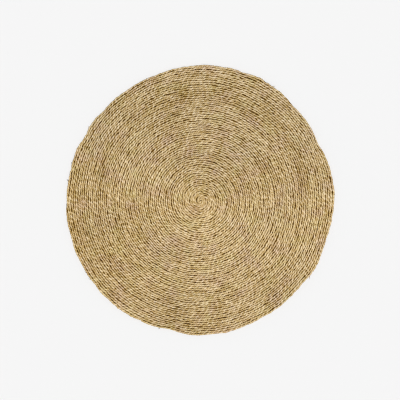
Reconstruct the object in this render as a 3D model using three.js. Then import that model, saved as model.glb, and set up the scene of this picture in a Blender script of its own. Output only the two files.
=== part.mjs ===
// A round rug of twisted grass rope, coiled flat from the middle and sewn row to row.
// Two ropes lie side by side and coil outwards together, clockwise as seen from above.
// Sewn up they are one flat sheet, so the rug is one solid: a flat underside, a ribbed face with one
// rib for each row of rope, and an uneven rim where the two ropes taper out.
// Millimetres, +Z up. The rug lies on its underside and the origin is under the middle of its box.

import * as THREE from 'three';

// Driving sizes
const ROPES = 2;
const ROW_PITCH = 11.7; // from one row to the next, so also the width of the rope
const TURNS = 32; // made by the longer rope, which gives a rug of 1500 across
const ROPE_HEIGHT = 11; // the top of a row above the floor
const GROOVE_DEPTH = 4.5; // between two rows
const LONG_ROPE_END_DEG = 45; // where each rope tapers out, counter-clockwise from +X
const SHORT_ROPE_END_DEG = 180;
const TAPER_LENGTH = 100; // over which the end of a rope thins to nothing

// The outer side of the last row, which is round: it swells past the groove line and draws in below
const SIDE_SWELL = 0.8;
const SIDE_SWELL_HEIGHT = 5;
const FOOT_INSET = 2;

// How the sewing pulled the rim out of true: each row of the table is one soft bulge or dent
const UNEVENNESS = [
  { at_deg: 5, spread_deg: 12, out_mm: 10.5 },
  { at_deg: 26, spread_deg: 5, out_mm: -10 },
  { at_deg: 38, spread_deg: 7, out_mm: 3 },
  { at_deg: 64, spread_deg: 5, out_mm: 5 },
  { at_deg: 71, spread_deg: 3, out_mm: -3.5 },
  { at_deg: 80, spread_deg: 26, out_mm: 10 },
  { at_deg: 108, spread_deg: 5, out_mm: -3 },
  { at_deg: 123, spread_deg: 10, out_mm: -6.5 },
  { at_deg: 137, spread_deg: 4, out_mm: -7 },
  { at_deg: 150, spread_deg: 4, out_mm: -7 },
  { at_deg: 157, spread_deg: 4, out_mm: 4 },
  { at_deg: 178, spread_deg: 5, out_mm: 5 },
  { at_deg: 193, spread_deg: 8, out_mm: -3 },
  { at_deg: 222, spread_deg: 4, out_mm: 2 },
  { at_deg: 232, spread_deg: 6, out_mm: 5 },
  { at_deg: 256, spread_deg: 5, out_mm: -10 },
  { at_deg: 267, spread_deg: 4, out_mm: 3.5 },
  { at_deg: 281, spread_deg: 5, out_mm: 4.5 },
  { at_deg: 298, spread_deg: 10, out_mm: -7 },
  { at_deg: 317, spread_deg: 9, out_mm: -9 },
  { at_deg: 329, spread_deg: 4, out_mm: 6 },
  { at_deg: 342, spread_deg: 9, out_mm: -6 },
];
// A bulge reaches inwards about as far as it is wide: its share falls as this over its spread
const REACH_POWER_DEG = 90;

// How many straight steps a turn of the coil has: twice as many where the turns get long, and again
// at the rim, whose bulges are narrow. The last count holds both rope ends.
const STEPS_PER_TURN = [
  { from_turn: -1, steps: 12 },
  { from_turn: 2, steps: 24 },
  { from_turn: 10, steps: 48 },
  { from_turn: 30, steps: 96 },
];

// Sizes that follow from them
const RIM_RADIUS = ROW_PITCH * ROPES * TURNS;
const TAPER_TURNS = TAPER_LENGTH / (2 * Math.PI * RIM_RADIUS);
const END_GAP_TURNS = (SHORT_ROPE_END_DEG - LONG_ROPE_END_DEG) / 360;
const END_TURN = [TURNS, TURNS - END_GAP_TURNS];

// A row has a line along its crest and a line along the groove outside it, given as the share of the
// row's width that lies inside the line
const CREST = 0.5;
const GROOVE = 1;

// Places on the rug

// How far the rim's unevenness moves a point that lies at a radius, in a direction in degrees
function unevennessAt(radius, degrees) {
  let out = 0;
  for (const bulge of UNEVENNESS) {
    const away = THREE.MathUtils.euclideanModulo(degrees - bulge.at_deg + 180, 360) - 180;
    const share = Math.exp(-((away / bulge.spread_deg) ** 2));
    out += bulge.out_mm * share * (radius / RIM_RADIUS) ** (REACH_POWER_DEG / bulge.spread_deg);
  }
  return out;
}

const positions = [];

// Adds a point and gives its number. A turn counts the way round clockwise from the direction in
// which the longer rope ends.
function addPoint(radius, turn, height) {
  const degrees = LONG_ROPE_END_DEG - 360 * THREE.MathUtils.euclideanModulo(turn, 1);
  const angle = THREE.MathUtils.degToRad(degrees);
  const reach = radius + unevennessAt(radius, degrees);
  positions.push(reach * Math.cos(angle), reach * Math.sin(angle), height);
  return positions.length / 3 - 1;
}

// How much of its full width a rope still has
function widthShare(rope, turn) {
  return THREE.MathUtils.smoothstep(END_TURN[rope] - turn, 0, TAPER_TURNS);
}

// The coil: each rope moves out by the width of all the ropes in one turn
function coilRadius(rope, across, turn) {
  return ROW_PITCH * (ROPES * turn + rope - 0.5 + across * widthShare(rope, turn));
}

// A crest sinks to the groove's height where its rope thins out, and a groove starts level with the
// crests at the middle of the rug, where the first bend of rope leaves no room for it
function lineHeight(rope, across, turn) {
  if (across === CREST) return ROPE_HEIGHT - GROOVE_DEPTH * (1 - widthShare(rope, turn));
  const opened = Math.min(1, coilRadius(rope, across, turn) / (ROW_PITCH / 2));
  return ROPE_HEIGHT - GROOVE_DEPTH * opened;
}

// The lines of the coil

// The turns at which a line has its points. A crest's lie halfway between a groove's, so that the
// faces of a row lean to and fro, as the twist of the rope does, and don't line up across the rug.
function turnsBetween(first, last, shift) {
  const turns = [first];
  STEPS_PER_TURN.forEach(({ from_turn, steps }, row) => {
    const next = STEPS_PER_TURN[row + 1];
    const start = Math.max(first, from_turn);
    const stop = next ? Math.min(last, next.from_turn) : last;
    for (let step = Math.round(start * steps); step < Math.round(stop * steps); step += 1) {
      const turn = (step + shift) / steps;
      if (turn > first) turns.push(turn);
    }
  });
  return turns;
}

const middle = addPoint(0, 0, ROPE_HEIGHT);

// One line from the middle of the rug to just short of the tip of its rope
function coilLine(rope, across) {
  const firstTurn = (0.5 - rope - across) / ROPES;
  const shift = across === CREST ? 0.5 : 0;
  return turnsBetween(firstTurn, END_TURN[rope], shift).map((turn, count) => {
    if (count === 0) return { turn, point: middle };
    const radius = coilRadius(rope, across, turn);
    return { turn, point: addPoint(radius, turn, lineHeight(rope, across, turn)) };
  });
}

const ropes = [0, 1].map((rope) => ({
  crest: coilLine(rope, CREST),
  groove: coilLine(rope, GROOVE),
}));

// Each rope tapers to a tip that lies on the groove line of the row inside it: the other rope's,
// a turn earlier for the longer rope
const [longRope, shortRope] = ropes;
function closeTip(rope, endTurn, innerGroove, innerTurn) {
  const { point } = innerGroove.find(({ turn }) => turn === innerTurn);
  rope.crest.push({ turn: endTurn, point });
  rope.groove.push({ turn: endTurn, point });
}
closeTip(shortRope, END_TURN[1], longRope.groove, END_TURN[1]);
closeTip(longRope, END_TURN[0], shortRope.groove, END_TURN[0] - 1);

// The faces

const triangles = [];

function addTriangle(a, b, c) {
  if (a !== b && b !== c && c !== a) triangles.push(a, b, c);
}

// Fills the strip between two lines that run clockwise, the inner one first: each triangle steps
// along the line that lags behind, so the lines may have different points
function stitch(inner, outer) {
  let i = 0;
  let o = 0;
  while (i < inner.length - 1 || o < outer.length - 1) {
    const innerNext = inner[i + 1];
    const outerNext = outer[o + 1];
    if (!outerNext || (innerNext && innerNext.turn < outerNext.turn)) {
      addTriangle(inner[i].point, innerNext.point, outer[o].point);
      i += 1;
    } else {
      addTriangle(inner[i].point, outerNext.point, outer[o].point);
      o += 1;
    }
  }
}

const later = (line, turns) => line.map(({ turn, point }) => ({ turn: turn + turns, point }));
const upTo = (line, last) => line.filter(({ turn }) => turn <= last);
const from = (line, first) => line.filter(({ turn }) => turn >= first);

// The ribbed face, row by row outwards: the inner half and the outer half of each rope
stitch(later(upTo(shortRope.groove, END_TURN[0] - 1), 1), longRope.crest);
stitch(longRope.crest, longRope.groove);
stitch(upTo(longRope.groove, END_TURN[1]), shortRope.crest);
stitch(shortRope.crest, shortRope.groove);

// The rim is the groove line of whichever rope lies outermost
const rim = [
  ...from(shortRope.groove, END_TURN[0] - 1),
  ...from(longRope.groove, END_TURN[1]).slice(1),
];

// A line all round the rim, moved outwards and set at a height
function rimLine(outwards, height) {
  const round = rim.slice(0, -1).map(({ turn, point }) => {
    const edge = new THREE.Vector2(positions[3 * point], positions[3 * point + 1]);
    edge.setLength(edge.length() + outwards);
    positions.push(edge.x, edge.y, height);
    return { turn, point: positions.length / 3 - 1 };
  });
  return [...round, { turn: rim[rim.length - 1].turn, point: round[0].point }];
}

const swell = rimLine(SIDE_SWELL, SIDE_SWELL_HEIGHT);
const foot = rimLine(-FOOT_INSET, 0);
stitch(rim, swell);
stitch(swell, foot);

// The flat underside
const under = addPoint(0, 0, 0);
for (let side = 1; side < foot.length; side += 1) {
  addTriangle(foot[side - 1].point, foot[side].point, under);
}

// The rug

const twistedGrass = new THREE.MeshStandardMaterial({
  name: 'twisted_grass',
  color: 0xb59c70,
  roughness: 0.85,
  metalness: 0,
});

const rugGeometry = new THREE.BufferGeometry();
rugGeometry.setAttribute('position', new THREE.Float32BufferAttribute(positions, 3));
rugGeometry.setIndex(triangles);
rugGeometry.computeBoundingBox();
const boxMiddle = rugGeometry.boundingBox.getCenter(new THREE.Vector3());
rugGeometry.translate(-boxMiddle.x, -boxMiddle.y, 0);
rugGeometry.computeVertexNormals();

const rug = new THREE.Mesh(rugGeometry, twistedGrass);
rug.name = 'coiled_rug';

const part = new THREE.Group();
part.name = 'round_rug';
part.add(rug);

export default part;
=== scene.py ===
"""A round rug of twisted grass rope, coiled flat from the middle and sewn row to row.

Two two-ply ropes lie side by side and coil outwards together, clockwise as seen from above. Each
is a closed tube whose section turns with the twist. They are about equally long: long_rope is the
name of the first one's pieces and short_rope that of the second one's. A dark sheet lies low
between the rows, under the seams: its darkness is painted shade, for the shaded fibres deep in the
seams. The ropes' colour also paints shade in the creases between the plies, down the sides of the
rows and where seams gape. Loose ends of grass lie on the rug and stand out from its rim.

Metres, +Z up. The rug lies on its underside, at z = 0, and the box of its solid is centred on the
origin.
"""

import math
from functools import partial
from typing import NamedTuple

import bpy
import numpy as np
from bpy.props import FloatProperty, FloatVectorProperty, IntProperty, PointerProperty
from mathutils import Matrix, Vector


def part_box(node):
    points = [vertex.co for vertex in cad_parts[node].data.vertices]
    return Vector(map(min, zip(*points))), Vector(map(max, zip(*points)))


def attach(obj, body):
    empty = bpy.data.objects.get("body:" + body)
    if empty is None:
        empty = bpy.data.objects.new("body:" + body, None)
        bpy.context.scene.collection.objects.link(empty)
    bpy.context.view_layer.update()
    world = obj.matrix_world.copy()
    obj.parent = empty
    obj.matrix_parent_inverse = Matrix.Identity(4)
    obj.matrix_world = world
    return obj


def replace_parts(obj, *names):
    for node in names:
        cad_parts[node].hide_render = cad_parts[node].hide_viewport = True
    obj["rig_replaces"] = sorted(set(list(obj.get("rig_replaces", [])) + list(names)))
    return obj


bl_info = {
    "name": "Coiled Grass Rug",
    "version": (1, 0, 0),
    "blender": (4, 5, 0),
    "location": "3D View > Sidebar > Rug",
    "description": "Makes a round rug of twisted grass rope, coiled and sewn",
    "category": "Add Mesh",
}

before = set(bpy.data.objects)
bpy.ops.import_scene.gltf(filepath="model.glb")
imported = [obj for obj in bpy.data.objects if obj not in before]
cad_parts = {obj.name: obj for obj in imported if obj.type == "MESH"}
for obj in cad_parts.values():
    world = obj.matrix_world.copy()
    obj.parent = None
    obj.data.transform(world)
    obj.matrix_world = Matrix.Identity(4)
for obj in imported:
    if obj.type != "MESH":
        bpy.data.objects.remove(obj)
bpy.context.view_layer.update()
RUG_NODE = "coiled_rug"
RUG_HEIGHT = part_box(RUG_NODE)[1].z

ROPE_UV = "rope"
BAKE_UV = "OFBake"
TURN = 2 * math.pi
MILLIMETRE = 0.001

# Seeds of the random numbers, so that every run makes the same rug
STRAYS_SEED = 6
ROPES_SEED = 11
FACE_BLADES_SEED = 31
RIM_BLADES_SEED = 32
SEAMS_SEED = 70


class Bulge(NamedTuple):
    """One soft bulge of the rim, or a dent where it goes inwards"""

    direction: float
    spread: float
    out: float


# Direction and spread in degrees, counter-clockwise from +X, and millimetres outwards at the rim
BULGES = (
    Bulge(5, 12, 10.5),
    Bulge(26, 5, -10),
    Bulge(38, 7, 3),
    Bulge(64, 5, 5),
    Bulge(71, 3, -3.5),
    Bulge(80, 26, 10),
    Bulge(108, 5, -3),
    Bulge(123, 10, -6.5),
    Bulge(137, 4, -7),
    Bulge(150, 4, -7),
    Bulge(157, 4, 4),
    Bulge(178, 5, 5),
    Bulge(193, 8, -3),
    Bulge(222, 4, 2),
    Bulge(232, 6, 5),
    Bulge(256, 5, -10),
    Bulge(267, 4, 3.5),
    Bulge(281, 5, 4.5),
    Bulge(298, 10, -7),
    Bulge(317, 9, -9),
    Bulge(329, 4, 6),
    Bulge(342, 9, -6),
)
# A bulge reaches inwards about as far as it is wide: its share falls as this over its spread
REACH_POWER = 90

# How far round the rope, from 0 to 1, the middle of each ply lies
THICK_MIDDLE = 0.25
THIN_MIDDLE = 0.75

# How the rope varies along its run. Each value is a sum of drifts, given as the share of each and
# the length over which it changes.
SWAY_DRIFTS = ((0.3, 0.07), (0.7, 0.02))
TWIST_DRIFTS = ((1, 0.7), (0.15, 0.1), (0.12, 0.03))
THICKNESS_DRIFTS = ((0.5, 0.4),)
PLY_DRIFTS = ((1, 0.024),)

# The range that nearly all values of a noise fall in
NOISE_RANGE = (0.3, 0.7)


# Sizes and colours


def setting(name, description, default, **details):
    """A property of the kind that its default is: several numbers, a whole number or a number."""
    kind = IntProperty if isinstance(default, int) else FloatProperty
    if isinstance(default, tuple):
        kind = FloatVectorProperty
        details["size"] = len(default)
    return kind(name=name, description=description, default=default, **details)


length_setting = partial(setting, unit="LENGTH")
place_setting = partial(setting, unit="LENGTH", subtype="TRANSLATION")
angle_setting = partial(setting, subtype="ANGLE")
share_setting = partial(setting, subtype="FACTOR", min=0, max=1)
# Colours are linear red, green and blue
colour_setting = partial(setting, subtype="COLOR", min=0, max=1)


class CoilSizes(bpy.types.PropertyGroup):
    """The rug as a whole"""

    row_pitch: length_setting("Row pitch", "From one row of rope to the next", 0.0117, min=0.004)
    turns: setting("Turns", "Turns that the first rope makes round the middle", 32.0, min=2)
    first_end: angle_setting(
        "First rope's end", "Where it tapers out, counter-clockwise from +X", math.radians(45)
    )
    second_end: angle_setting(
        "Second rope's end", "Where it tapers out, counter-clockwise from +X", math.radians(180)
    )
    taper: length_setting(
        "Taper", "Length over which the end of a rope thins to nothing", 0.1, min=0.01
    )
    ripple: length_setting(
        "Ripple", "How far the rows stray together every few centimetres", 0.0019, min=0
    )
    ripple_reach: length_setting("Ripple reach", "From one stray to the next", 0.027, min=0.01)
    wander: length_setting(
        "Wander", "How far the rows stray together over wider stretches", 0.0036, min=0, max=0.01
    )
    wander_reach: length_setting(
        "Wander reach", "From one such stray to the next, across the rows", 0.06, min=0.02
    )
    middle: place_setting(
        "Middle", "The coil's middle, from the middle of the rug's box", (-0.00202, -0.00327)
    )


class RopeSizes(bpy.types.PropertyGroup):
    """The two-ply rope"""

    ply_radius: length_setting(
        "Ply radius",
        "Radius of the thicker ply and of the thinner one, which it wraps",
        (0.0050, 0.0040),
        min=0.001,
    )
    ply_offset: length_setting(
        "Ply offset", "From the rope's middle to that of each ply", (0.0012, 0.0016), min=0.0002
    )
    flatness: share_setting(
        "Flatness", "Height over width, as the sewing pressed it", 0.88, min=0.3
    )
    lead: length_setting("Lead", "Length of rope in which a ply goes once round", 0.0269, min=0.01)
    steps: setting("Steps a lead", "Rings of points in one lead", 8, min=6)
    lead_drift: angle_setting(
        "Lead drift", "How far the twist runs ahead or behind over a stretch", 6.0, min=0
    )
    ply_unevenness: share_setting(
        "Ply unevenness", "How much thicker or thinner a ply gets", 0.12, max=0.3
    )
    sway: length_setting(
        "Sway", "How far a row strays sideways between its stitches", 0.0023, min=0
    )
    middle_sway: share_setting(
        "Middle sway", "How much more a row strays in the tight middle turns", 0.3, max=2
    )
    press: share_setting(
        "Press", "How much wider the tight middle turns are pressed", 0.22, max=0.3
    )
    press_reach: length_setting(
        "Press reach", "How far from the middle the rows are pressed together", 0.09, min=0.01
    )
    gap_length: length_setting(
        "Gap length", "Usual length over which a seam between two rows gapes", 0.012, min=0.005
    )
    gap_onset: setting(
        "Gap onset", "Random value at which gaps begin: the higher, the rarer", 0.36, min=-1, max=1
    )
    gap_width: share_setting(
        "Gap width", "How far the rope draws in where a seam gapes, over its width", 0.2, max=0.4
    )
    pieces: setting("Pieces", "Objects that each rope is divided into along its length", 3, min=1)


class LooseGrass(bpy.types.PropertyGroup):
    """The loose ends of grass, and the dark sheet low in the seams, whose darkness is painted
    shade
    """

    on_top: setting("On the rug", "Loose ends that lie on the face of the rug", 260, min=0)
    at_rim: setting("At the rim", "Loose ends that stand out from the rim", 34, min=0)
    length: length_setting("Length", "Usual length of a loose end", 0.028, min=0.002)
    width: length_setting("Width", "Usual width of a loose end", 0.0022, min=0.0002)
    stubs: setting(
        "Stubs", "Directions in degrees of the dark stubs at the rim", (164.1, 171.6, 252.6)
    )
    stub_length: length_setting("Stub length", "Length of a stub", 0.015, min=0.002)
    stub_width: length_setting("Stub width", "Width of a stub", 0.0026, min=0.0002)
    stub_lean: angle_setting("Stub lean", "How far a stub turns outwards from the rim", 1.1)
    # The dark sheet between these heights paints the shade deep in the seams
    seam_top: length_setting("Seam height", "Height to which the fibres rise", 0.0038, min=0.001)
    seam_foot: length_setting("Seam foot", "Height of the fibres' underside", 0.001, min=0.0002)


class GrassColours(bpy.types.PropertyGroup):
    """Dried grass, from the painted shade in the seams to the palest blades"""

    seam: colour_setting("Seam", "Shaded fibres in the seams", (0.052, 0.018, 0.001))
    brown: colour_setting("Brown", "The darkest blades", (0.272, 0.135, 0.007))
    tan: colour_setting("Tan", "Blades in the shade", (0.472, 0.301, 0.088))
    straw: colour_setting("Straw", "The usual blade", (0.618, 0.433, 0.188))
    pale: colour_setting("Pale", "The lightest blades", (0.930, 0.744, 0.462))
    olive: colour_setting("Olive", "Tint of blades cut green", (0.940, 0.975, 0.860))
    mauve: colour_setting("Mauve", "Tint of blades dried reddish", (0.910, 0.860, 0.980))
    # Grey tints random patches of blades, and towards +Y and -Y a painted sheen
    grey: colour_setting("Grey", "Tint of weathered blades", (0.905, 0.930, 1.0))


class RopeTones(bpy.types.PropertyGroup):
    """What makes the rope's tone: 0 is the painted shade deep in a seam, 1 the palest blade"""

    darkest: share_setting("Darkest", "Tone of the darkest blade", 0.757)
    lightest: share_setting("Lightest", "Tone of the lightest blade", 0.912)
    grain: share_setting("Grain", "Either way along a blade", 0.05)
    wrap: share_setting("Wrap", "Either way from one wrap of a ply to the next", 0.09)
    ply: share_setting("Ply", "Either way along a ply", 0.065)
    row: share_setting("Row", "Either way along a row", 0.045)
    patches: share_setting("Patches", "Either way in wide patches of the rug", 0.035)
    # Lighter round one place on the rug, towards -Y, and darker far from it
    bleached: share_setting("Bleached", "Lighter at the bleached place", 0.045)
    unbleached: share_setting("Unbleached", "Darker far from there", 0.025)
    upper: share_setting("Upper", "Lighter towards +Y", 0.03)
    crescent: share_setting("Crescent", "Darker in the crescent of rows", 0.065)
    # Painted shade in the crease between the plies
    crease: share_setting("Crease", "Darker in the crease between the plies", 0.18)
    thin_ply: share_setting("Thin ply", "Darker on the thin ply", 0.085)
    # Painted shade: darker lower down each row, towards the seams
    sunk: share_setting("Sunk", "Darker down the sides of a row", 0.24)
    # Painted shade where a seam gapes
    gap: share_setting("Gap", "Darker where a seam gapes", 0.48)
    middle: share_setting("Middle", "Darker in the tight middle turns", 0.06)
    # Less of that painted shade in the tight middle turns
    eased_middle_shade: share_setting("Middle sides", "Lighter down the sides of those turns", 0.12)
    bleached_at: place_setting("Bleached at", "Where it is bleached most", (0.12, -0.3, 0.0))
    dark_radius: length_setting("Crescent radius", "Radius of the crescent of darker rows", 0.59)


class StageLook(bpy.types.PropertyGroup):
    """Floor, light and camera"""

    floor_colour: colour_setting("Floor", "Colour of the floor", (0.83, 0.83, 0.83))
    floor_size: length_setting("Floor size", "Side of the floor", 60.0, min=3)
    sky_above: setting("Sky above", "Strength of the even light from straight above", 0.3, min=0)
    sky_low: setting("Low sky", "Strength of the even light from the horizon", 0.92, min=0)
    lamp_strength: setting("Lamp", "Strength of the wide lamp overhead", 2.4, min=0)
    lamp_spread: angle_setting(
        "Lamp spread", "How wide the lamp looks: the wider, the softer", math.radians(50)
    )
    lamp_from: setting(
        "Lamp from", "The direction that it shines from", (0.1, -0.17, 1.0), subtype="DIRECTION"
    )
    lens: setting("Lens", "Focal length in millimetres, on a 36 mm wide sensor", 85.0, min=10)
    view_width: length_setting(
        "View width", "Width of the view at the rug's face", 2.242, min=0.1
    )
    aim: place_setting("Aim", "What the camera looks straight down at", (-0.003, 0.0007))


SETTINGS = {
    "rug_coil": CoilSizes,
    "rug_rope": RopeSizes,
    "rug_loose": LooseGrass,
    "rug_colours": GrassColours,
    "rug_tones": RopeTones,
    "rug_stage": StageLook,
}


# Shapes


def smoothstep(x):
    """Goes from 0 to 1 as x does, level at both ends: 3 x squared less 2 x cubed."""
    x = np.clip(x, 0, 1)
    return x * x * (3 - 2 * x)


def drift(run, spacing, rng):
    """A smooth random value from -1 to 1 along a run of rope: random values at an even spacing,
    each joined to the next by smoothstep."""
    knots = rng.uniform(-1, 1, int(run.max() / spacing) + 2)
    place = run / spacing
    knot = place.astype(int)
    share = smoothstep(place - knot)
    return knots[knot] * (1 - share) + knots[knot + 1] * share


def drifts(run, parts, rng):
    """The sum of several drifts along a run of rope, each given as its share and its spacing."""
    return sum(share * drift(run, spacing, rng) for share, spacing in parts)


def rim_radius(coil):
    """The radius of the true circle on which the first rope's last row ends."""
    return 2 * coil.row_pitch * coil.turns


def rope_ends(coil):
    """The direction that each rope starts towards, and the turn at which it ends. The second rope
    starts opposite the first."""
    between = (coil.second_end - coil.first_end) / TURN
    return (coil.first_end, coil.turns), (coil.first_end + math.pi, coil.turns + 0.5 - between)


def outermost_row(coil, direction):
    """The radius of the middle of the outermost row in each direction: of the two ropes, the one
    that lies farther out. A rope's radius is two rows times its turns, less half a row where it
    has tapered out."""
    growth = 2 * coil.row_pitch
    radii = []
    for start, end_turn in rope_ends(coil):
        end_direction = start - TURN * end_turn
        before_end = (direction - end_direction) % TURN / TURN
        turn = end_turn - before_end
        left = smoothstep(math.pi * growth * (end_turn**2 - turn**2) / coil.taper)
        radii.append(growth * turn - coil.row_pitch / 2 * (1 - left))
    return np.maximum(*radii)


def between_knots(knots, u, v):
    """A smooth value over two coordinates: the knots' own values at whole numbers of both, each
    joined to the next by smoothstep."""
    row = np.clip(u.astype(int), 0, knots.shape[0] - 2)
    column = np.clip(v.astype(int), 0, knots.shape[1] - 2)
    down = smoothstep(u - row)
    over = smoothstep(v - column)
    near = knots[row, column] * (1 - over) + knots[row, column + 1] * over
    far = knots[row + 1, column] * (1 - over) + knots[row + 1, column + 1] * over
    return near * (1 - down) + far * down


def row_strays(coil, radius, direction):
    """How far the rows stray together from their true spiral, outwards. The ripple is a smooth
    random value on a grid of squares a little wider than the rug, times its size. The wander is
    one on a grid of rings and spokes, times its own, and is 0 at the middle and at the rim."""
    rng = np.random.default_rng(STRAYS_SEED)
    rim = rim_radius(coil)
    side = 2.2 * rim
    squares = round(side / coil.ripple_reach)
    knots = rng.uniform(-1, 1, (squares + 1, squares + 1))
    u = squares * (0.5 + radius * np.cos(direction) / side)
    v = squares * (0.5 + radius * np.sin(direction) / side)
    ripple = between_knots(knots, u, v)

    rings = round(rim / coil.wander_reach)
    spokes = 12
    knots = rng.uniform(-1, 1, (rings + 1, spokes + 1))
    knots[:, -1] = knots[:, 0]
    knots[[0, -1]] = 0
    around = direction % TURN / TURN
    wander = between_knots(knots, rings * radius / rim, spokes * around)
    return coil.ripple * ripple + coil.wander * wander


def on_rug(coil, radius, direction, height):
    """Points on the rug from their radius and direction round the middle of the coil. Each bulge
    moves a point outwards by its size, times a bell curve over the directions, times the point's
    share of the rim's radius to a power that is high for a narrow bulge. The rows' strays are
    added to these."""
    rim = rim_radius(coil)
    degrees = np.degrees(direction)
    share = np.maximum(radius / rim, 1e-6)
    reach = radius + row_strays(coil, radius, direction)
    for bulge in BULGES:
        away = (degrees - bulge.direction + 180) % 360 - 180
        bell = np.exp(-((away / bulge.spread) ** 2))
        reach += MILLIMETRE * bulge.out * bell * share ** (REACH_POWER / bulge.spread)
    x = coil.middle[0] + reach * np.cos(direction)
    y = coil.middle[1] + reach * np.sin(direction)
    return np.stack([x, y, height], axis=-1)


def rope_section(rope):
    """The outline of a thick ply and a thin one side by side, in the frame that turns with them:
    the angle of each point round the rope, its distance from the rope's middle, and how far round
    it lies, from 0 to 1, where 0, 0.5 and 1 are the creases. The outline is the farther of the two
    plies' circles as seen from the rope's middle: the offset times the cosine of the angle from
    that ply, plus the root of the radius squared less the offset times the sine, squared."""
    angle = np.radians([-118, -76, -38, 0, 38, 76, 118, 150, 180, 210])
    around = np.array([0, 0.085, 0.165, 0.25, 0.335, 0.415, 0.5, 0.625, 0.75, 0.875])
    thick, thin = (
        offset * np.cos(turned) + np.sqrt(radius**2 - (offset * np.sin(turned)) ** 2)
        for offset, radius, turned in zip(
            rope.ply_offset, rope.ply_radius, (angle, angle + math.pi), strict=True
        )
    )
    return angle, np.maximum(thick, thin), around


def seam_gaps(rope, run, seam):
    """How far a seam gapes, from 0 to 1, along the run of the rope inside it: a smooth random
    value, with a slower and weaker one added, from its onset to half a unit more. Each seam has
    its own numbers, so the two ropes beside it gape at the same places."""
    rng = np.random.default_rng(SEAMS_SEED + seam)
    slower = 9 * rope.gap_length
    fully_open = 0.5
    value = drifts(run, ((1, rope.gap_length), (0.1, slower)), rng)
    return smoothstep((value - rope.gap_onset) / fully_open)


def rope_surface(coil, rope, start, end_turn, number):
    """The surface of one coiled rope, as rings of points along it, with each ring's distance along
    it and turns of twist, how far each point lies in an open gap, from 0 to 1, and how far round
    the rope it lies.

    The rope's middle lies on a spiral whose radius grows by two rows in each turn, so the distance
    along it is pi times the radius squared, over two rows. The turns are the root of that distance
    over pi times two rows, which places each ring. Its section turns once round in a lead, with a
    smooth random drift, and is pressed a little flat. Where the rope starts, its width is half the
    full one plus three quarters of the spiral's radius. It thins over its taper at the rim, where
    its inner side stays against the row inside it. Near the middle it is wider by its press and
    sways more, both times a bell curve over the radius."""
    rng = np.random.default_rng(ROPES_SEED + number)
    growth = 2 * coil.row_pitch
    full = rope.ply_radius[0] + rope.ply_offset[0]
    start_radius = 0.3 * full
    first = math.pi * start_radius**2 / growth
    last = math.pi * growth * end_turn**2
    rings = round((last - first) / rope.lead * rope.steps)
    run = np.linspace(first, last, rings + 1)
    turn = np.sqrt(run / (math.pi * growth))
    direction = start - TURN * turn

    left = smoothstep((last - run) / coil.taper)
    in_middle = np.exp(-((growth * turn / rope.press_reach) ** 2))
    opening = 0.5 + 0.75 * growth * turn / full
    tip_width = 0.02
    width = np.maximum(np.minimum(left, opening), tip_width) * (1 + rope.press * in_middle)
    radius = growth * turn - coil.row_pitch / 2 * (1 - left)
    sway = drifts(run, SWAY_DRIFTS, rng) * (1 + rope.middle_sway * in_middle)
    radius += rope.sway * width * sway

    angle, distance, around = rope_section(rope)
    turned = rope.lead_drift * drifts(run, TWIST_DRIFTS, rng) - TURN * run / rope.lead
    psi = turned[:, None] + angle
    thickness = 1 + rope.ply_unevenness * drifts(run, THICKNESS_DRIFTS, rng)
    thick, thin = (
        thickness * (1 + rope.ply_unevenness * drifts(run, PLY_DRIFTS, rng)) for _ in range(2)
    )
    lobe = 0.5 + 0.5 * np.cos(angle)
    swell = thick[:, None] * lobe + thin[:, None] * (1 - lobe)

    outwards = np.cos(psi)
    inner_run = math.pi * growth * np.maximum(turn - 0.5, 0) ** 2
    outer_gap = seam_gaps(rope, run, number)[:, None]
    inner_gap = seam_gaps(rope, inner_run, 1 - number)[:, None]
    on_side = smoothstep((np.abs(outwards) - 0.45) / 0.5)
    gap = np.where(outwards > 0, outer_gap, inner_gap) * on_side

    reach = distance * swell * width[:, None] * (1 - rope.gap_width * gap)
    tip_lift = 0.3
    lift = rope.flatness * full * np.maximum(left, tip_lift)
    height = lift[:, None] + rope.flatness * reach * np.sin(psi)
    height -= np.minimum(height.min(axis=1), 0)[:, None]
    points = on_rug(
        coil,
        radius[:, None] + reach * outwards,
        np.broadcast_to(direction[:, None], psi.shape),
        height,
    )
    return points, run, -turned / TURN, gap, around


def blade_surfaces(root, heading, length, width, lift, bend):
    """Loose blades of grass as closed flat tubes, all at once: five rings of four points along
    each. A blade runs from its root along its heading, swerves sideways by its bend times the
    square of the way along, and bows up by its lift times the sine of half a turn. Its width
    swells from the root and tapers to the tip as the root of four times the way along times the
    way left, and it is as thick as its flatness times its width."""
    flatness = 0.16
    tip_width = 0.02
    way = np.linspace(0.04, 0.985, 5)
    forward = np.stack([np.cos(heading), np.sin(heading), np.zeros(len(heading))], axis=-1)
    sideways = np.stack([-np.sin(heading), np.cos(heading), np.zeros(len(heading))], axis=-1)
    line = root[:, None] + forward[:, None] * (length[:, None] * way)[..., None]
    line = line + sideways[:, None] * ((length * bend)[:, None] * way**2)[..., None]
    line[..., 2] += lift[:, None] * np.sin(math.pi * way)
    half = width[:, None] / 2 * np.sqrt(4 * way * (1 - way) + tip_width)
    across = np.array([1, 0, -1, 0])
    upwards = flatness * np.array([0, 1, 0, -1])
    points = line[:, :, None] + sideways[:, None, None] * (half[..., None] * across)[..., None]
    points[..., 2] += half[..., None] * upwards
    return points, way


# Meshes


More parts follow.
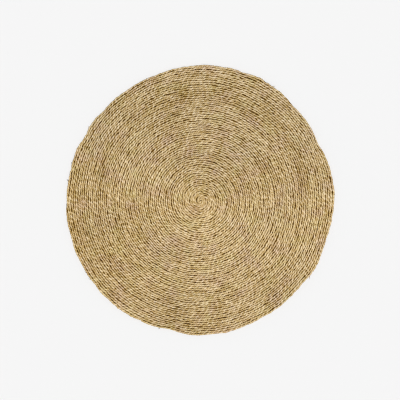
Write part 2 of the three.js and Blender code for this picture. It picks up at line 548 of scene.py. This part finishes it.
def mesh_object(name, points, faces, material):
    """A smooth object with these points and faces, at the origin, which rides on the rug's body,
    takes this material and stands for the CAD solid."""
    mesh = bpy.data.meshes.new(name)
    sizes = np.concatenate([np.full(len(block), block.shape[1]) for block in faces])
    corners = np.concatenate([block.ravel() for block in faces])
    mesh.vertices.add(len(points))
    mesh.vertices.foreach_set("co", np.ascontiguousarray(points, np.float32).ravel())
    mesh.loops.add(len(corners))
    mesh.loops.foreach_set("vertex_index", corners.astype(np.int32))
    mesh.polygons.add(len(sizes))
    starts = np.concatenate([[0], np.cumsum(sizes)[:-1]])
    mesh.polygons.foreach_set("loop_start", starts.astype(np.int32))
    mesh.update(calc_edges=True)
    if mesh.validate():
        raise RuntimeError(f"{name}: the mesh had faults")
    mesh.polygons.foreach_set("use_smooth", np.ones(len(sizes), bool))
    mesh.materials.append(material)
    piece = bpy.data.objects.new(name, mesh)
    bpy.context.scene.collection.objects.link(piece)
    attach(piece, "root")
    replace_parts(piece, RUG_NODE)
    return piece


def add_uv(piece, name, uv):
    """Gives a piece a UV map, one row of uv for each corner of its faces."""
    layer = piece.data.uv_layers.new(name=name)
    layer.uv.foreach_set("vector", np.ascontiguousarray(uv, np.float32).ravel())


def add_values(piece, name, values):
    """Gives a piece an attribute, one value for each point."""
    layer = piece.data.attributes.new(name, "FLOAT", "POINT")
    layer.data.foreach_set("value", np.ascontiguousarray(values, np.float32).ravel())


def tube_faces(rings, sides):
    """The quads of a closed tube whose points are numbered ring by ring, and the triangles that
    close its ends round two more points: the first ring's middle, then the last one's."""
    ring = np.arange(rings - 1)[:, None] * sides
    side = np.arange(sides)
    after = (side + 1) % sides
    quads = np.stack(
        [ring + side, ring + after, ring + sides + after, ring + sides + side], axis=-1
    ).reshape(-1, 4)
    middle = np.full(sides, rings * sides)
    last = (rings - 1) * sides
    first_cap = np.stack([middle, after, side], axis=-1)
    last_cap = np.stack([middle + 1, last + side, last + after], axis=-1)
    return quads, np.concatenate([first_cap, last_cap])


def rope_piece(name, points, run, wraps, gap, around, material):
    """One stretch of rope as a closed tube. Its map for the material holds metres along the rope
    and the share of the way round it. Its map for baking lays the same strip in rows, one over
    another, each about as long as all of them are high, and its ends in a corner."""
    rings, sides = points.shape[:2]
    ends = points[[0, -1]].mean(axis=1)
    quads, caps = tube_faces(rings, sides)
    everything = np.concatenate([points.reshape(-1, 3), ends])
    piece = mesh_object(name, everything, [quads, caps], material)
    add_values(piece, "wraps", np.append(np.repeat(wraps, sides), wraps[[0, -1]]))
    add_values(piece, "gap", np.append(gap, [0, 0]))

    edge = np.append(around, 1)
    along = np.stack([run[:-1], run[:-1], run[1:], run[1:]], axis=-1)[:, None]
    round_it = np.stack([edge[:-1], edge[1:], edge[1:], edge[:-1]], axis=-1)[None]
    along, round_it = np.broadcast_arrays(along, round_it)
    strip = np.stack([along, round_it], axis=-1).reshape(-1, 2)
    cap_uv = np.tile([[run[0], THICK_MIDDLE]], (3 * sides, 1))
    cap_uv = np.concatenate([cap_uv, cap_uv + [run[-1] - run[0], 0]])
    add_uv(piece, ROPE_UV, np.concatenate([strip, cap_uv]))

    girth = math.pi * np.linalg.norm(points[:, 0] - points[:, sides // 2], axis=-1).mean()
    rows = math.ceil(math.sqrt((run[-1] - run[0]) / girth))
    in_row = math.ceil((rings - 1) / rows)
    ring = np.arange(rings - 1)
    row = (ring // in_row)[:, None, None]
    column = (ring % in_row)[:, None, None] + np.array([0, 0, 1, 1])
    border = 0.002
    between_rows = 0.04
    u = border + (1 - 2 * border) * column / in_row
    v = (row + between_rows + (1 - 2 * between_rows) * round_it) / rows
    u, v = np.broadcast_arrays(u, v)
    baked = np.stack([u, v], axis=-1).reshape(-1, 2)
    corner = border / 4 * np.array([[1, 1], [3, 1], [1, 3]])
    add_uv(piece, BAKE_UV, np.concatenate([baked, np.tile(corner, (2 * sides, 1))]))
    piece.data.uv_layers.active = piece.data.uv_layers[ROPE_UV]
    return piece


def blades_piece(name, points, way, length, tone, material):
    """Many loose blades as one object. Its map holds metres along each blade and the share of the
    way round it, and its map for baking gives each blade a cell of a square grid."""
    count, rings, sides = points.shape[:3]
    quads, caps = tube_faces(rings, sides)
    ends = points[:, [0, -1]].mean(axis=2)
    everything = np.concatenate([points.reshape(count, -1, 3), ends], axis=1)
    first = np.arange(count)[:, None, None] * everything.shape[1]
    faces = [(block + first).reshape(-1, block.shape[1]) for block in (quads, caps)]
    piece = mesh_object(name, everything.reshape(-1, 3), faces, material)
    add_values(piece, "tone", np.repeat(tone, everything.shape[1]))

    along = np.concatenate([np.repeat(way, sides), way[[0, -1]]])
    around = np.concatenate([np.tile(np.arange(sides) / sides, rings), [0.5, 0.5]])
    corners = np.concatenate([quads.ravel(), caps.ravel()])
    spans = np.cumsum([0, quads.size, caps.size])
    strip = np.broadcast_to(
        np.stack([along[corners], around[corners]], axis=-1), (count, len(corners), 2)
    )
    columns = math.ceil(math.sqrt(count))
    cell = np.stack([np.arange(count) % columns, np.arange(count) // columns], axis=-1)
    border = 0.1
    baked = (cell[:, None] + border + (1 - 2 * border) * strip) / columns
    metres = strip * np.stack([length, np.ones(count)], axis=-1)[:, None]
    for uv_name, uv in ((ROPE_UV, metres), (BAKE_UV, baked)):
        parts = [uv[:, a:b].reshape(-1, 2) for a, b in zip(spans[:-1], spans[1:], strict=True)]
        add_uv(piece, uv_name, np.concatenate(parts))
    piece.data.uv_layers.active = piece.data.uv_layers[ROPE_UV]
    return piece


# Materials


def add_node(tree, kind, inputs=None, **settings):
    """A node of a kind, with its settings, and with each named or numbered input linked to an
    output or set to a value."""
    made = tree.nodes.new(kind)
    for name, value in settings.items():
        setattr(made, name, value)
    for name, value in (inputs or {}).items():
        if isinstance(value, bpy.types.NodeSocket):
            tree.links.new(value, made.inputs[name])
        else:
            made.inputs[name].default_value = value
    return made


def work_out(tree, operation, *values, clamp=False):
    """The output of a Math node."""
    made = add_node(
        tree, "ShaderNodeMath", dict(enumerate(values)), operation=operation, use_clamp=clamp
    )
    return made.outputs[0]


def stretch(tree, value, low, high, new_low=0.0, new_high=1.0):
    """The output of a Map Range node, which holds a value within its new range."""
    inputs = {0: value, 1: low, 2: high, 3: new_low, 4: new_high}
    return add_node(tree, "ShaderNodeMapRange", inputs, clamp=True).outputs[0]


def distance_from(tree, value, place):
    """How far a value is from another, either way."""
    return work_out(tree, "ABSOLUTE", work_out(tree, "SUBTRACT", value, place))


def vector_of(tree, *parts):
    """A vector made of its parts: the output of a Combine XYZ node."""
    return add_node(tree, "ShaderNodeCombineXYZ", dict(enumerate(parts))).outputs[0]


def parts_of(tree, vector):
    """The three parts of a vector: the outputs of a Separate XYZ node."""
    return add_node(tree, "ShaderNodeSeparateXYZ", {0: vector}).outputs


def noise(tree, place, scale, detail, dimensions="3D", **inputs):
    """The output of a Noise Texture node."""
    inputs = {"Vector": place, "Scale": scale, "Detail": detail, **inputs}
    return add_node(tree, "ShaderNodeTexNoise", inputs, noise_dimensions=dimensions).outputs[0]


def noise_along(tree, along, length, strand):
    """The output of a noise that changes over about this length, and differs by strand."""
    far_apart = 7.3
    place = vector_of(
        tree,
        work_out(tree, "DIVIDE", along, length),
        work_out(tree, "MULTIPLY", strand, far_apart),
    )
    return noise(tree, place, 1.0, 1.0, "2D")


def place_on_rug(tree):
    """The place of a point in the rug's own frame."""
    return tree.nodes.new("ShaderNodeTexCoord").outputs["Object"]


def attribute(tree, name):
    """The values of a piece's attribute."""
    return add_node(tree, "ShaderNodeAttribute", attribute_name=name).outputs["Fac"]


def new_group(name, inputs, outputs):
    """An empty node group, its input node and its output node. Sockets are given as the kind of
    each name."""
    group = bpy.data.node_groups.new(name, "ShaderNodeTree")
    for way, sockets in (("INPUT", inputs), ("OUTPUT", outputs)):
        for socket, kind in sockets.items():
            group.interface.new_socket(socket, in_out=way, socket_type=f"NodeSocket{kind}")
    return group, group.nodes.new("NodeGroupInput"), group.nodes.new("NodeGroupOutput")


def grass_blades_group():
    """Flat blades of grass side by side. Takes the place along and across the blades, in metres,
    and gives each blade's own random tone, a fine grain along the blades, and their height, which
    is that of a rounded blade with a share of the grain."""
    group, taken, given = new_group(
        "grass_blades",
        {"Along": "Float", "Across": "Float"},
        {"Tone": "Float", "Grain": "Float", "Height": "Float"},
    )
    along = taken.outputs["Along"]
    across = taken.outputs["Across"]
    blade_length = 0.05
    blade_width = 0.0034
    place = vector_of(
        group,
        work_out(group, "DIVIDE", along, blade_length),
        work_out(group, "DIVIDE", across, blade_width),
    )
    cells, edges = (
        add_node(
            group,
            "ShaderNodeTexVoronoi",
            {"Vector": place, "Scale": 1.0, "Randomness": 0.9},
            voronoi_dimensions="2D",
            feature=feature,
        )
        for feature in ("F1", "DISTANCE_TO_EDGE")
    )
    grains_along = 60.0
    grains_across = 2400.0
    fine_place = vector_of(
        group,
        work_out(group, "MULTIPLY", along, grains_along),
        work_out(group, "MULTIPLY", across, grains_across),
    )
    fine = noise(group, fine_place, 1.0, 2.0, "2D", Roughness=0.6)
    tone = add_node(group, "ShaderNodeSeparateColor", {0: cells.outputs["Color"]}).outputs[0]
    rounded = stretch(group, edges.outputs["Distance"], 0.0, 0.28)
    grained = work_out(group, "MULTIPLY", fine, 0.35)
    group.links.new(tone, given.inputs["Tone"])
    group.links.new(fine, given.inputs["Grain"])
    group.links.new(work_out(group, "ADD", rounded, grained), given.inputs["Height"])
    return group


def dried_grass_group():
    """The colour of dried grass. Takes a tone from 0, the painted shade deep in a seam, to 1, the
    palest blade, and tints patches of it olive, mauve and grey by the place on the rug. Grey also
    tints the rug towards +Y, and half as much towards -Y: a painted sheen."""
    colours = bpy.context.scene.rug_colours
    group, taken, given = new_group("dried_grass", {"Tone": "Float"}, {"Color": "Color"})
    ramp = add_node(group, "ShaderNodeValToRGB", {0: taken.outputs["Tone"]})
    stops = (
        (0.0, colours.seam),
        (0.3, colours.brown),
        (0.5, colours.tan),
        (0.65, colours.straw),
        (1.0, colours.pale),
    )
    elements = ramp.color_ramp.elements
    while len(elements) < len(stops):
        elements.new(0.5)
    for element, (place, colour) in zip(elements, stops, strict=True):
        element.position = place
        element.color = (*colour, 1)

    place = place_on_rug(group)
    y = parts_of(group, place)[1]
    # A painted sheen: grey towards +Y, half as much towards -Y, warmer across the middle
    upper = stretch(group, y, -0.05, 0.5)
    lower = stretch(group, y, -0.2, -0.65, 0.0, 0.45)
    painted_sheen = work_out(group, "ADD", upper, lower)
    colour = ramp.outputs[0]
    for tint, patches_a_metre, seed, most, everywhere in (
        (colours.olive, 12.0, 3.0, 1.0, 0.0),
        (colours.mauve, 10.0, 41.0, 1.0, 0.0),
        (colours.grey, 3.0, 8.0, 0.7, painted_sheen),
    ):
        patches = noise(group, place, patches_a_metre, 2.0, "4D", W=seed)
        share = stretch(group, patches, 0.5, 0.72, 0.0, most)
        share = work_out(group, "ADD", share, everywhere, clamp=True)
        tinted = add_node(
            group,
            "ShaderNodeMix",
            {0: share, 6: colour, 7: (*tint, 1)},
            data_type="RGBA",
            blend_type="MULTIPLY",
        )
        colour = tinted.outputs[2]
    group.links.new(colour, given.inputs["Color"])
    return group


def grass_material(name, pattern, relief):
    """A new material of grass, whose roughness and bump follow its blades. The pattern is a
    function that gives the place along and across the blades, in metres, and their tone. The
    relief is the height of the blades."""
    material = bpy.data.materials.new(name)
    material.use_nodes = True
    tree = material.node_tree
    tree.nodes.clear()
    groups = bpy.data.node_groups
    blades_group = groups.get("grass_blades") or grass_blades_group()
    colour_group = groups.get("dried_grass") or dried_grass_group()
    blades = add_node(tree, "ShaderNodeGroup", node_tree=blades_group)
    along, across, tone = pattern(tree, blades)
    tree.links.new(along, blades.inputs["Along"])
    tree.links.new(across, blades.inputs["Across"])
    colour = add_node(tree, "ShaderNodeGroup", {"Tone": tone}, node_tree=colour_group)
    bump = add_node(
        tree,
        "ShaderNodeBump",
        {"Height": blades.outputs["Height"], "Distance": relief, "Strength": 1.0},
    )
    shader = add_node(
        tree,
        "ShaderNodeBsdfPrincipled",
        {
            "Base Color": colour.outputs["Color"],
            "Roughness": stretch(tree, blades.outputs["Grain"], *NOISE_RANGE, 0.62, 0.86),
            "Normal": bump.outputs[0],
            "Specular IOR Level": 0.2,
        },
    )
    add_node(tree, "ShaderNodeOutputMaterial", {"Surface": shader.outputs[0]})
    return material


def piece_map(tree):
    """The metres along a piece and the share of the way round it, from its own map."""
    strip = add_node(tree, "ShaderNodeUVMap", uv_map=ROPE_UV).outputs[0]
    return parts_of(tree, strip)[:2]


def wide_tones(tree, rope, tones):
    """What adds to the tone by the place on the rug, each as a value, its range, and what it adds
    from the one end of that range to the other: wide patches, a lighter area round one place, the
    upper part, a crescent of darker rows, painted shade down the sides of a row, the tight middle
    turns, and less of that painted shade down the sides of those."""
    place = place_on_rug(tree)
    _, y, height = parts_of(tree, place)
    patches = noise(tree, place, 2.0, 1.0)
    # Lighter round one place on the rug, towards -Y, and darker far from it
    away = add_node(
        tree, "ShaderNodeVectorMath", {0: place, 1: tones.bleached_at}, operation="DISTANCE"
    ).outputs["Value"]
    radius = add_node(
        tree, "ShaderNodeVectorMath", {0: place}, operation="LENGTH"
    ).outputs["Value"]

    stray = stretch(tree, patches, *NOISE_RANGE, -0.03, 0.03)
    off_ring = distance_from(tree, work_out(tree, "ADD", radius, stray), tones.dark_radius)
    in_ring = stretch(tree, off_ring, 0.07, 0.02)
    crescent = work_out(tree, "MULTIPLY", in_ring, stretch(tree, y, -0.06, 0.08))
    # Painted shade: darker the lower a point lies, down the sides of a row
    sunk = stretch(tree, height, 0.9 * RUG_HEIGHT, 0.55 * RUG_HEIGHT)
    middle = stretch(tree, radius, 1.7 * rope.press_reach, 0.3 * rope.press_reach)
    # The painted shade down the sides is eased in the tight middle turns
    eased_middle_shade = work_out(tree, "MULTIPLY", sunk, middle)
    return (
        (patches, 0.35, 0.65, -tones.patches, tones.patches),
        (away, 0.2, 1.05, tones.bleached, -tones.unbleached),
        (y, -0.05, 0.3, 0.0, tones.upper),
        (crescent, 0.0, 1.0, 0.0, -tones.crescent),
        (sunk, 0.0, 1.0, 0.0, -tones.sunk),
        (middle, 0.0, 1.0, 0.0, -tones.middle),
        (eased_middle_shade, 0.0, 1.0, 0.0, tones.eased_middle_shade),
    )


def rope_pattern(tree, blades):
    """Twisted grass. The tone is each blade's own, with what its grain, wrap, ply and row and its
    place on the rug add to it, less the darkness of the thin ply, and less painted shade in the
    crease between the plies and where the seams gape. The blades lean across their ply as they
    run along it."""
    rope = bpy.context.scene.rug_rope
    tones = bpy.context.scene.rug_tones
    along, around = piece_map(tree)
    twice = work_out(tree, "MULTIPLY", around, 2.0)
    ply = work_out(tree, "FLOOR", twice)
    over_ply = work_out(tree, "SUBTRACT", twice, ply)
    over_ridge = 0.5

    girth = TURN * rope.ply_radius[0]
    girths_a_lead = 0.45
    plies_apart = 3.7
    lean = work_out(tree, "MULTIPLY", along, girths_a_lead * girth / rope.lead)
    across = work_out(tree, "ADD", work_out(tree, "MULTIPLY", around, girth), lean)
    across = work_out(tree, "ADD", across, work_out(tree, "MULTIPLY", ply, plies_apart))

    half_turn_on = stretch(tree, ply, 0.0, 1.0, -0.25, 0.25)
    turned = work_out(tree, "ADD", attribute(tree, "wraps"), half_turn_on)
    wrap = vector_of(tree, work_out(tree, "FLOOR", turned), ply)
    wrap_tone = add_node(tree, "ShaderNodeTexWhiteNoise", {"Vector": wrap}).outputs["Value"]
    ply_tone = noise_along(tree, along, length=0.05, strand=work_out(tree, "ADD", ply, 5.0))
    row_tone = noise_along(tree, along, length=0.07, strand=0.05)
    # Painted shade: darkest in the crease between the plies
    crease = stretch(tree, distance_from(tree, over_ply, over_ridge), 0.1, 0.5)
    thin_ply = stretch(tree, distance_from(tree, around, THIN_MIDDLE), 0.32, 0.08)

    tone = stretch(tree, blades.outputs["Tone"], 0.0, 1.0, tones.darkest, tones.lightest)
    for value, low, high, at_low, at_high in (
        (blades.outputs["Grain"], *NOISE_RANGE, -tones.grain, tones.grain),
        (wrap_tone, 0.0, 1.0, -tones.wrap, tones.wrap),
        (ply_tone, *NOISE_RANGE, -tones.ply, tones.ply),
        (row_tone, *NOISE_RANGE, -tones.row, tones.row),
        # Painted shade in the crease between the plies
        (crease, 0.0, 1.0, 0.0, -tones.crease),
        (thin_ply, 0.0, 1.0, 0.0, -tones.thin_ply),
        # Painted shade where a seam gapes and the rope draws in
        (attribute(tree, "gap"), 0.0, 1.0, 0.0, -tones.gap),
        *wide_tones(tree, rope, tones),
    ):
        tone = work_out(tree, "ADD", tone, stretch(tree, value, low, high, at_low, at_high))
    return along, across, tone


def blade_pattern(tree, blades):
    """A loose blade: its own tone, with a fine grain along it."""
    along, around = piece_map(tree)
    across = work_out(tree, "MULTIPLY", around, 2 * bpy.context.scene.rug_loose.width)
    grain = stretch(tree, blades.outputs["Grain"], *NOISE_RANGE, -0.12, 0.08)
    return along, across, work_out(tree, "ADD", attribute(tree, "tone"), grain)


def seam_shade_pattern(tree, blades):
    """Broken fibres and stitches deep between the rows, as one sheet with blades running every
    way.
    Its dark tone is painted shade, for the shade deep in the seams.
    """
    x, y, _ = parts_of(tree, place_on_rug(tree))
    return x, y, stretch(tree, blades.outputs["Tone"], 0.0, 1.0, 0.0, 0.2)


# The rug's operators


class RugOperator:
    """What the rug's operators share"""

    bl_options = {"REGISTER", "UNDO"}


class RUG_OT_set_stage(RugOperator, bpy.types.Operator):
    """Lay the floor, light it evenly and set the camera straight above the rug"""

    bl_idname = "rug.set_stage"
    bl_label = "Set the Stage"

    def execute(self, context):
        scene = context.scene
        look = scene.rug_stage
        half = look.floor_size / 2
        mesh = bpy.data.meshes.new("floor")
        corners = [(-half, -half, 0), (half, -half, 0), (half, half, 0), (-half, half, 0)]
        mesh.from_pydata(corners, [], [(0, 1, 2, 3)])
        floor = bpy.data.objects.new("floor", mesh)
        scene.collection.objects.link(floor)
        material = bpy.data.materials.new("pale_floor")
        material.use_nodes = True
        shader = material.node_tree.nodes["Principled BSDF"]
        shader.inputs["Base Color"].default_value = (*look.floor_colour, 1)
        shader.inputs["Roughness"].default_value = 1
        shader.inputs["Specular IOR Level"].default_value = 0
        mesh.materials.append(material)

        world = bpy.data.worlds.new("studio")
        world.use_nodes = True
        tree = world.node_tree
        sky = tree.nodes["Background"]
        sky.inputs["Color"].default_value = (1, 1, 1, 1)
        toward = tree.nodes.new("ShaderNodeTexCoord").outputs["Generated"]
        up = parts_of(tree, toward)[2]
        low = work_out(tree, "POWER", work_out(tree, "SUBTRACT", 1.0, up, clamp=True), 3.0)
        strength = stretch(tree, low, 0.0, 1.0, look.sky_above, look.sky_low)
        tree.links.new(strength, sky.inputs["Strength"])
        scene.world = world

        lamp = bpy.data.lights.new("wide_lamp", "SUN")
        lamp.energy = look.lamp_strength
        lamp.angle = look.lamp_spread
        hung = bpy.data.objects.new("wide_lamp", lamp)
        hung.rotation_euler = Vector(look.lamp_from).to_track_quat("Z", "Y").to_euler()
        scene.collection.objects.link(hung)

        view = bpy.data.cameras.new("overhead")
        view.lens = look.lens
        view.sensor_width = 36
        camera = bpy.data.objects.new("overhead", view)
        above = RUG_HEIGHT + look.view_width * look.lens / view.sensor_width
        camera.location = (look.aim[0], look.aim[1], above)
        view.clip_end = 100
        scene.collection.objects.link(camera)
        scene.camera = camera
        scene.view_settings.view_transform = "Standard"
        scene.cycles.use_denoising = True
        scene.cycles.denoising_prefilter = "NONE"
        scene.cycles.filter_width = 1.1
        return {"FINISHED"}


class RUG_OT_coil_ropes(RugOperator, bpy.types.Operator):
    """Coil the two ropes outwards together from the middle"""

    bl_idname = "rug.coil_ropes"
    bl_label = "Coil the Ropes"

    def execute(self, context):
        coil = context.scene.rug_coil
        rope = context.scene.rug_rope
        material = grass_material("rope_grass", rope_pattern, relief=0.0005)
        for number, (start, end_turn) in enumerate(rope_ends(coil)):
            name = ("long_rope", "short_rope")[number]
            *by_ring, around = rope_surface(coil, rope, start, end_turn, number)
            cuts = np.linspace(0, len(by_ring[0]) - 1, rope.pieces + 1).round().astype(int)
            for count, (first, last) in enumerate(zip(cuts[:-1], cuts[1:], strict=True), 1):
                part = [values[first : last + 1] for values in by_ring]
                rope_piece(f"{name}_{count}", *part, around, material)
        return {"FINISHED"}


class RUG_OT_lay_loose_blades(RugOperator, bpy.types.Operator):
    """Lay loose ends of grass on the rug and let some stand out from its rim"""

    bl_idname = "rug.lay_loose_blades"
    bl_label = "Lay the Loose Blades"

    def execute(self, context):
        coil = context.scene.rug_coil
        loose = context.scene.rug_loose
        material = grass_material("blade_grass", blade_pattern, relief=0.0002)

        rng = np.random.default_rng(FACE_BLADES_SEED)
        count = loose.on_top
        direction = rng.uniform(0, TURN, count)
        radius = np.sqrt(rng.uniform(0.0002, 0.96, count)) * rim_radius(coil)
        length = loose.length * rng.uniform(0.5, 1.6, count)
        width = loose.width * rng.uniform(0.5, 1.2, count)
        root = on_rug(coil, radius, direction, RUG_HEIGHT * rng.uniform(0.8, 0.94, count))
        heading = direction - math.pi / 2 + rng.normal(0.15, 0.4, count)
        lift = rng.uniform(0.001, 0.0026, count)
        bend = rng.uniform(-0.3, 0.3, count)
        points, way = blade_surfaces(root, heading, length, width, lift, bend)
        tone = rng.uniform(0.45, 1.05, count)
        blades_piece("blades_on_top", points, way, length, tone, material)

        rng = np.random.default_rng(RIM_BLADES_SEED)
        stubs = len(loose.stubs)
        count = stubs + loose.at_rim
        direction = np.append(np.radians(loose.stubs), rng.uniform(0, TURN, loose.at_rim))
        length = loose.length * rng.uniform(0.25, 0.85, count)
        width = loose.width * rng.uniform(0.5, 1.0, count)
        lean = rng.uniform(0.15, 0.6, count)
        # Rim blades' random tones run darker than on top, stubs darkest: that darkness is painted
        # shade
        tone = rng.uniform(0.3, 0.9, count)
        length[:stubs] = loose.stub_length
        width[:stubs] = loose.stub_width
        lean[:stubs] = loose.stub_lean
        tone[:stubs] = 0.1
        rim = outermost_row(coil, direction) + 0.2 * coil.row_pitch
        root = on_rug(coil, rim, direction, RUG_HEIGHT * rng.uniform(0.3, 0.7, count))
        heading = direction - math.pi / 2 + lean
        lift = rng.uniform(0, 0.0015, count)
        bend = rng.uniform(-0.3, 0.3, count)
        points, way = blade_surfaces(root, heading, length, width, lift, bend)
        blades_piece("blades_at_rim", points, way, length, tone, material)
        return {"FINISHED"}


class RUG_OT_lay_seam_shade(RugOperator, bpy.types.Operator):
    """Lay a dark sheet low between the rows: painted shade for the fibres deep in the seams"""

    bl_idname = "rug.fill_seams"
    bl_label = "Fill the Seams"

    def execute(self, context):
        coil = context.scene.rug_coil
        loose = context.scene.rug_loose
        sides = 192
        rings = 24
        direction = np.linspace(0, TURN, sides, endpoint=False)
        rim = outermost_row(coil, direction)
        way = np.linspace(0, 1, rings + 1)[1:]
        way = np.concatenate([way, way[::-1]])
        height = np.repeat([loose.seam_top, loose.seam_foot], rings)
        shape = (len(way), sides)
        points = on_rug(
            coil,
            way[:, None] * rim,
            np.broadcast_to(direction, shape),
            np.broadcast_to(height[:, None], shape),
        )
        quads, caps = tube_faces(*shape)
        ends = points[[0, -1]].mean(axis=1)
        everything = np.concatenate([points.reshape(-1, 3), ends])
        faces = [quads[:, ::-1], caps[:, ::-1]]
        # The seam sheet's dark tone is painted shade, for the fibres deep in the seams
        material = grass_material("seam_shade_grass", seam_shade_pattern, relief=0.0004)
        seams = mesh_object("seam_shade_sheet", everything, faces, material)
        return {"FINISHED"}


class RUG_PT_sidebar(bpy.types.Panel):
    """The rug's steps and sizes"""

    bl_idname = "RUG_PT_sidebar"
    bl_label = "Coiled Grass Rug"
    bl_space_type = "VIEW_3D"
    bl_region_type = "UI"
    bl_category = "Rug"

    def draw(self, context):
        for operator in OPERATORS:
            self.layout.operator(operator.bl_idname)
        for name, group in SETTINGS.items():
            box = self.layout.box()
            settings = getattr(context.scene, name)
            for field in group.__annotations__:
                box.prop(settings, field)


OPERATORS = (
    RUG_OT_set_stage,
    RUG_OT_coil_ropes,
    RUG_OT_lay_loose_blades,
    RUG_OT_lay_seam_shade,
)


def register():
    for name, group in SETTINGS.items():
        bpy.utils.register_class(group)
        setattr(bpy.types.Scene, name, PointerProperty(type=group))
    for kind in (*OPERATORS, RUG_PT_sidebar):
        bpy.utils.register_class(kind)


def unregister():
    for kind in (RUG_PT_sidebar, *reversed(OPERATORS)):
        bpy.utils.unregister_class(kind)
    for name, group in reversed(SETTINGS.items()):
        delattr(bpy.types.Scene, name)
        bpy.utils.unregister_class(group)


def main():
    """Makes the whole rug and its stage."""
    register()
    bpy.ops.rug.set_stage()
    bpy.ops.rug.coil_ropes()
    bpy.ops.rug.lay_loose_blades()
    bpy.ops.rug.fill_seams()


if __name__ == "__main__":
    main()
